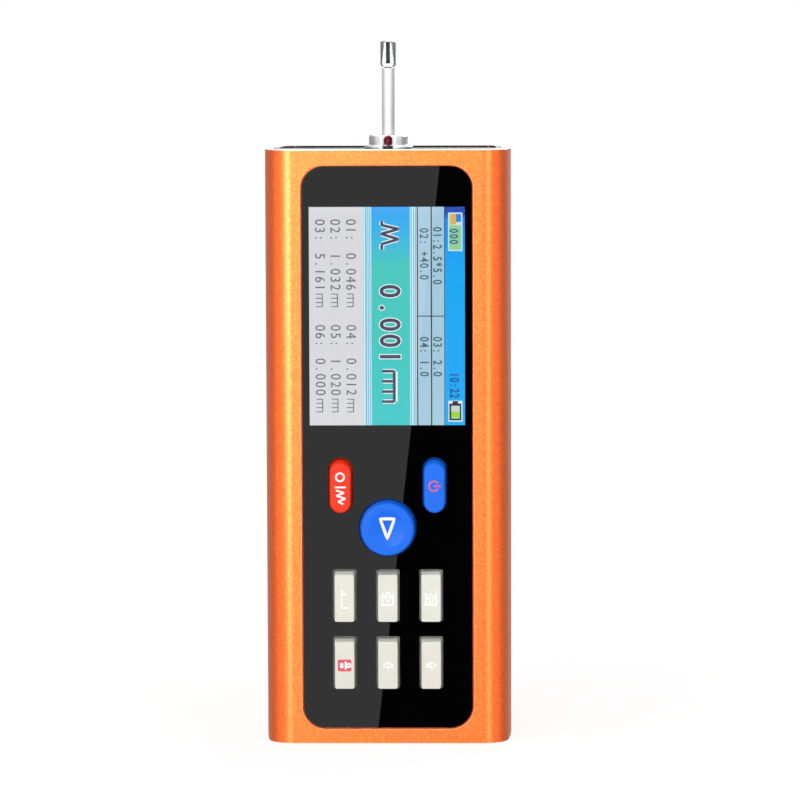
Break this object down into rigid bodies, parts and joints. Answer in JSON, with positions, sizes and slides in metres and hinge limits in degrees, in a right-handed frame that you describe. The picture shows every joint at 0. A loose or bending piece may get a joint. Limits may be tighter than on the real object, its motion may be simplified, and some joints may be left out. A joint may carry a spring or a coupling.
{
  "type": "surface roughness tester",
  "caption": "Handheld surface roughness tester: orange extruded tube, glossy front with display and keypad, and a slim pickup that a lead screw draws down through a collar.",
  "frame": {"origin": "middle of the lower end plate's outer face, on which the tester stands", "axes": "+Z along the body towards the pickup, -Y out of the front with the display, +X to the right seen from the front"},
  "size_m": [0.0588, 0.044, 0.1664],
  "materials": {
    "orange_anodised": "bead-blasted and anodised orange",
    "black_acrylic": "high gloss, printed black from behind",
    "clear_acrylic": "clear and glossy",
    "display_glass": "lit display",
    "black_anodised": "black anodised",
    "bright_steel": "polished",
    "bare_aluminium": "as machined",
    "brass": "turned",
    "red_lens": "clear dark red",
    "black_plastic": "moulded",
    "green_board": "solder mask",
    "blue_plastic": "satin moulded",
    "red_plastic": "satin moulded",
    "cream_plastic": "satin moulded",
    "battery_wrap": "shrink wrap",
    "diamond": "polished point"
  },
  "bodies": {
    "housing": {"housing_shell": "orange_anodised", "top_end_plate": "black_anodised", "bottom_end_plate": "black_anodised", "top_screw_1": "bright_steel", "top_screw_2": "bright_steel", "top_screw_3": "bright_steel", "top_screw_4": "bright_steel", "bottom_screw_1": "bright_steel", "bottom_screw_2": "bright_steel", "bottom_screw_3": "bright_steel", "bottom_screw_4": "bright_steel", "probe_collar": "bright_steel", "collar_nut": "bare_aluminium", "index_lamp": "red_lens", "lamp_seat": "black_plastic", "front_panel": "black_acrylic", "display_window": "clear_acrylic", "lcd_panel": "display_glass", "display_carrier": "black_plastic", "main_board": "green_board", "key_guide": "black_plastic", "start_button_switch": "black_plastic", "power_button_switch": "black_plastic", "mode_button_switch": "black_plastic", "enter_key_switch": "black_plastic", "tray_down_key_switch": "black_plastic", "tray_up_key_switch": "black_plastic", "save_key_switch": "black_plastic", "left_key_switch": "black_plastic", "right_key_switch": "black_plastic", "battery_pack": "battery_wrap", "battery_tray": "black_plastic", "charge_board": "green_board", "usb_socket": "bright_steel", "drive_frame": "bare_aluminium", "guide_rod_left": "bright_steel", "guide_rod_right": "bright_steel", "gear_motor": "bright_steel", "screw_bush": "brass"},
    "traverse": {"carriage": "black_plastic", "carriage_nut": "brass", "pickup_socket": "brass", "pickup_body": "bright_steel", "pickup_tube": "bright_steel", "pickup_head": "bright_steel", "stylus_pivot_pin": "brass"},
    "screw": {"motor_shaft": "bright_steel", "shaft_coupling": "brass", "lead_screw": "bright_steel"},
    "stylus": {"stylus_lever": "bright_steel", "stylus_tip": "diamond"},
    "start_cap": {"start_button": "blue_plastic"},
    "power_cap": {"power_button": "blue_plastic"},
    "mode_cap": {"mode_button": "red_plastic"},
    "enter_cap": {"enter_key": "cream_plastic"},
    "tray_down_cap": {"tray_down_key": "cream_plastic"},
    "tray_up_cap": {"tray_up_key": "cream_plastic"},
    "save_cap": {"save_key": "cream_plastic"},
    "left_cap": {"left_key": "cream_plastic"},
    "right_cap": {"right_key": "cream_plastic"}
  },
  "joints": [
    {"name": "traverse_slide", "type": "slide", "parent": "housing", "child": "traverse", "axis": [0, 0, -1], "range_m": [0, 0.0175]},
    {"name": "screw_turn", "type": "hinge", "parent": "housing", "child": "screw", "pos_m": [0, 0.0107, 0.0697], "axis": [0, 0, 1], "continuous": true},
    {"name": "stylus_rock", "type": "hinge", "parent": "traverse", "child": "stylus", "pos_m": [0, 0.0031, 0.1617], "axis": [1, 0, 0], "range_deg": [-1.5, 1.5], "stiffness_Nm_per_rad": 0.0005},
    {"name": "start_press", "type": "slide", "parent": "housing", "child": "start_cap", "axis": [0, 1, 0], "range_m": [0, 0.0006], "stiffness_N_per_m": 500, "springref_m": -0.0004},
    {"name": "power_press", "type": "slide", "parent": "housing", "child": "power_cap", "axis": [0, 1, 0], "range_m": [0, 0.0006], "stiffness_N_per_m": 500, "springref_m": -0.0004},
    {"name": "mode_press", "type": "slide", "parent": "housing", "child": "mode_cap", "axis": [0, 1, 0], "range_m": [0, 0.0006], "stiffness_N_per_m": 500, "springref_m": -0.0004},
    {"name": "enter_press", "type": "slide", "parent": "housing", "child": "enter_cap", "axis": [0, 1, 0], "range_m": [0, 0.0006], "stiffness_N_per_m": 500, "springref_m": -0.0004},
    {"name": "tray_down_press", "type": "slide", "parent": "housing", "child": "tray_down_cap", "axis": [0, 1, 0], "range_m": [0, 0.0006], "stiffness_N_per_m": 500, "springref_m": -0.0004},
    {"name": "tray_up_press", "type": "slide", "parent": "housing", "child": "tray_up_cap", "axis": [0, 1, 0], "range_m": [0, 0.0006], "stiffness_N_per_m": 500, "springref_m": -0.0004},
    {"name": "save_press", "type": "slide", "parent": "housing", "child": "save_cap", "axis": [0, 1, 0], "range_m": [0, 0.0006], "stiffness_N_per_m": 500, "springref_m": -0.0004},
    {"name": "left_press", "type": "slide", "parent": "housing", "child": "left_cap", "axis": [0, 1, 0], "range_m": [0, 0.0006], "stiffness_N_per_m": 500, "springref_m": -0.0004},
    {"name": "right_press", "type": "slide", "parent": "housing", "child": "right_cap", "axis": [0, 1, 0], "range_m": [0, 0.0006], "stiffness_N_per_m": 500, "springref_m": -0.0004}
  ],
  "couplings": [
    {"joint": "screw_turn", "follows": "traverse_slide", "rad_per_m": 6283.2}
  ]
}
